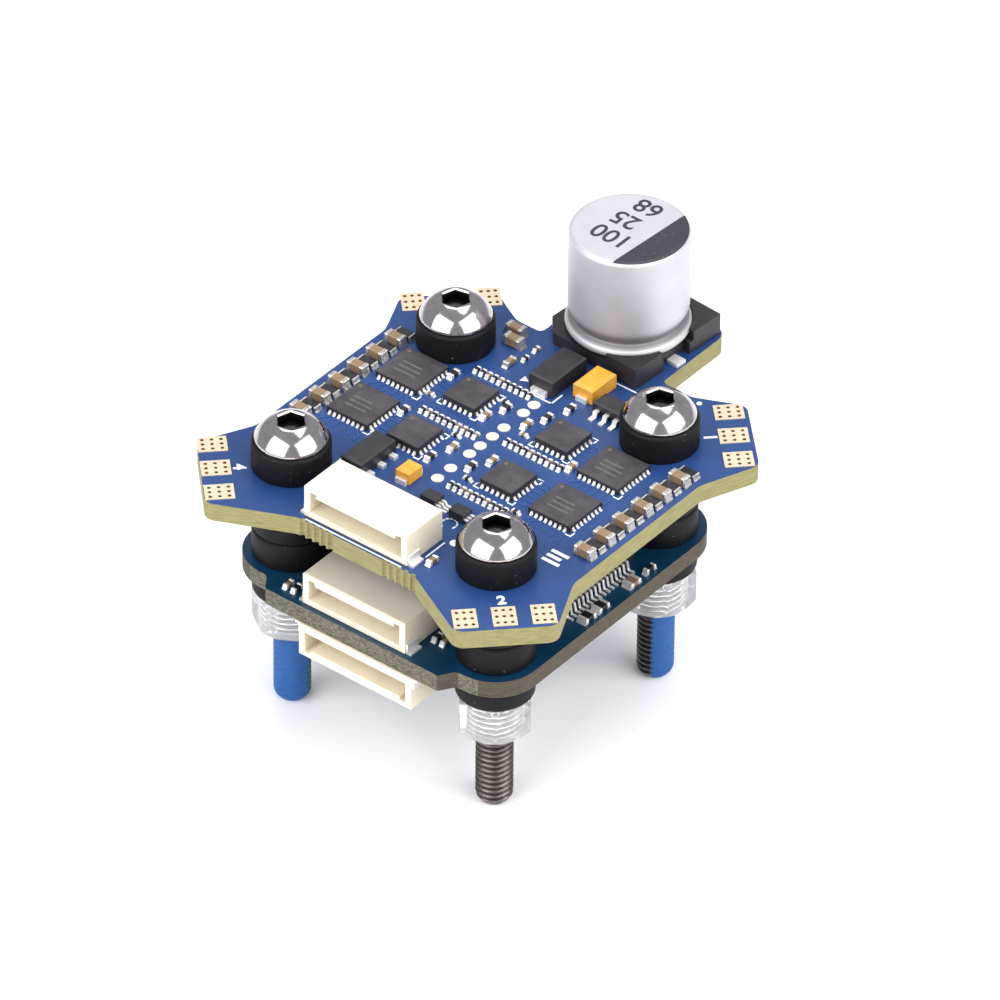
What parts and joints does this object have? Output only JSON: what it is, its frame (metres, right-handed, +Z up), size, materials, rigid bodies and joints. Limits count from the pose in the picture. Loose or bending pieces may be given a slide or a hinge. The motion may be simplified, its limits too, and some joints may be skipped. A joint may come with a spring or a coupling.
{
  "type": "flight controller board",
  "caption": "Flight controller and motor speed controller boards stacked on silicone dampers and screws, with wire sockets, motor pads and a filter capacitor",
  "frame": {"origin": "centre of the four screws, on the plane of the underside of the nuts", "axes": "+Z up along the screws toward their heads, +Y toward the capacitor, -Y out of the wire sockets, +X toward the first and second motor corners"},
  "size_m": [0.0356, 0.0422, 0.0329],
  "materials": {
    "base_plastic": "black moulded plastic",
    "blue_solder_mask": "satin blue solder mask over copper and glass-epoxy laminate",
    "button_plastic": "white moulded plastic",
    "can_aluminium": "drawn aluminium with a satin film",
    "ceramic_parts": "brown ceramic body with tinned ends",
    "chip_mould": "black epoxy moulding compound",
    "clear_nylon": "clear polycarbonate",
    "cream_nylon": "moulded natural nylon",
    "gold_pads": "immersion gold over copper",
    "resistor_parts": "dark glazed body with tinned ends",
    "screw_steel": "polished nickel plated steel head, plain thread",
    "sensor_lid": "nickel plated lid",
    "silicone": "black silicone rubber",
    "tantalum_yellow": "yellow epoxy",
    "teal_solder_mask": "satin dark teal solder mask over glass-epoxy laminate",
    "tinned_contacts": "bright tin",
    "usb_steel": "stamped stainless steel"
  },
  "bodies": {
    "stack": {"barometer": "sensor_lid", "boot_button_case": "base_plastic", "capacitor_base": "base_plastic", "capacitor_can": "can_aluminium", "capacitor_terminals": "tinned_contacts", "chip_lands": "tinned_contacts", "display_chip": "chip_mould", "edge_capacitors": "ceramic_parts", "edge_resistors": "resistor_parts", "esc_board": "blue_solder_mask", "esc_ceramic_capacitors": "ceramic_parts", "esc_dampers": "silicone", "esc_small_parts": "resistor_parts", "esc_socket_housing": "cream_nylon", "esc_socket_pins": "tinned_contacts", "esc_socket_tabs": "tinned_contacts", "fc_board": "teal_solder_mask", "fc_bottom_socket_housing": "cream_nylon", "fc_bottom_socket_pins": "tinned_contacts", "fc_bottom_socket_tabs": "tinned_contacts", "fc_dampers": "silicone", "fc_small_parts": "resistor_parts", "fc_top_socket_housing": "cream_nylon", "fc_top_socket_pins": "tinned_contacts", "fc_top_socket_tabs": "tinned_contacts", "flash_chip": "chip_mould", "gate_driver_1": "chip_mould", "gate_driver_2": "chip_mould", "gate_driver_3": "chip_mould", "gate_driver_4": "chip_mould", "gyro_sensor": "chip_mould", "microcontroller_1": "chip_mould", "microcontroller_2": "chip_mould", "microcontroller_3": "chip_mould", "microcontroller_4": "chip_mould", "mosfets_1": "chip_mould", "mosfets_2": "chip_mould", "mosfets_3": "chip_mould", "mosfets_4": "chip_mould", "motor_pads": "gold_pads", "package_terminals": "tinned_contacts", "plain_pads": "gold_pads", "power_diode": "chip_mould", "processor": "chip_mould", "processor_leads": "tinned_contacts", "regulator": "chip_mould", "small_transistors": "chip_mould", "tantalum_large": "tantalum_yellow", "tantalum_small": "tantalum_yellow", "usb_shell": "usb_steel", "usb_tongue": "base_plastic"},
    "boot_plunger": {"boot_button_plunger": "button_plastic"},
    "screw_body_1": {"screw_1": "screw_steel"},
    "nut_body_1": {"nut_1": "clear_nylon"},
    "screw_body_2": {"screw_2": "screw_steel"},
    "nut_body_2": {"nut_2": "clear_nylon"},
    "screw_body_3": {"screw_3": "screw_steel"},
    "nut_body_3": {"nut_3": "clear_nylon"},
    "screw_body_4": {"screw_4": "screw_steel"},
    "nut_body_4": {"nut_4": "clear_nylon"}
  },
  "joints": [
    {"name": "screw_1_turn", "type": "hinge", "parent": "stack", "child": "screw_body_1", "pos_m": [0.01, 0.01, 0], "axis": [0, 0, 1], "range_deg": [0, 4320]},
    {"name": "nut_1_travel", "type": "slide", "parent": "stack", "child": "nut_body_1", "axis": [0, 0, -1], "range_m": [0, 0.00601]},
    {"name": "screw_2_turn", "type": "hinge", "parent": "stack", "child": "screw_body_2", "pos_m": [0.01, -0.01, 0], "axis": [0, 0, 1], "range_deg": [0, 4320]},
    {"name": "nut_2_travel", "type": "slide", "parent": "stack", "child": "nut_body_2", "axis": [0, 0, -1], "range_m": [0, 0.00601]},
    {"name": "screw_3_turn", "type": "hinge", "parent": "stack", "child": "screw_body_3", "pos_m": [-0.01, 0.01, 0], "axis": [0, 0, 1], "range_deg": [0, 4320]},
    {"name": "nut_3_travel", "type": "slide", "parent": "stack", "child": "nut_body_3", "axis": [0, 0, -1], "range_m": [0, 0.00601]},
    {"name": "screw_4_turn", "type": "hinge", "parent": "stack", "child": "screw_body_4", "pos_m": [-0.01, -0.01, 0], "axis": [0, 0, 1], "range_deg": [0, 4320]},
    {"name": "nut_4_travel", "type": "slide", "parent": "stack", "child": "nut_body_4", "axis": [0, 0, -1], "range_m": [0, 0.00601]},
    {"name": "boot_button_press", "type": "slide", "parent": "stack", "child": "boot_plunger", "axis": [0, 0, -1], "range_m": [0, 0.00025], "stiffness_N_per_m": 800}
  ],
  "couplings": [
    {"joint": "nut_1_travel", "follows": "screw_1_turn", "m_per_rad": 0.000079577},
    {"joint": "nut_2_travel", "follows": "screw_2_turn", "m_per_rad": 0.000079577},
    {"joint": "nut_3_travel", "follows": "screw_3_turn", "m_per_rad": 0.000079577},
    {"joint": "nut_4_travel", "follows": "screw_4_turn", "m_per_rad": 0.000079577}
  ]
}
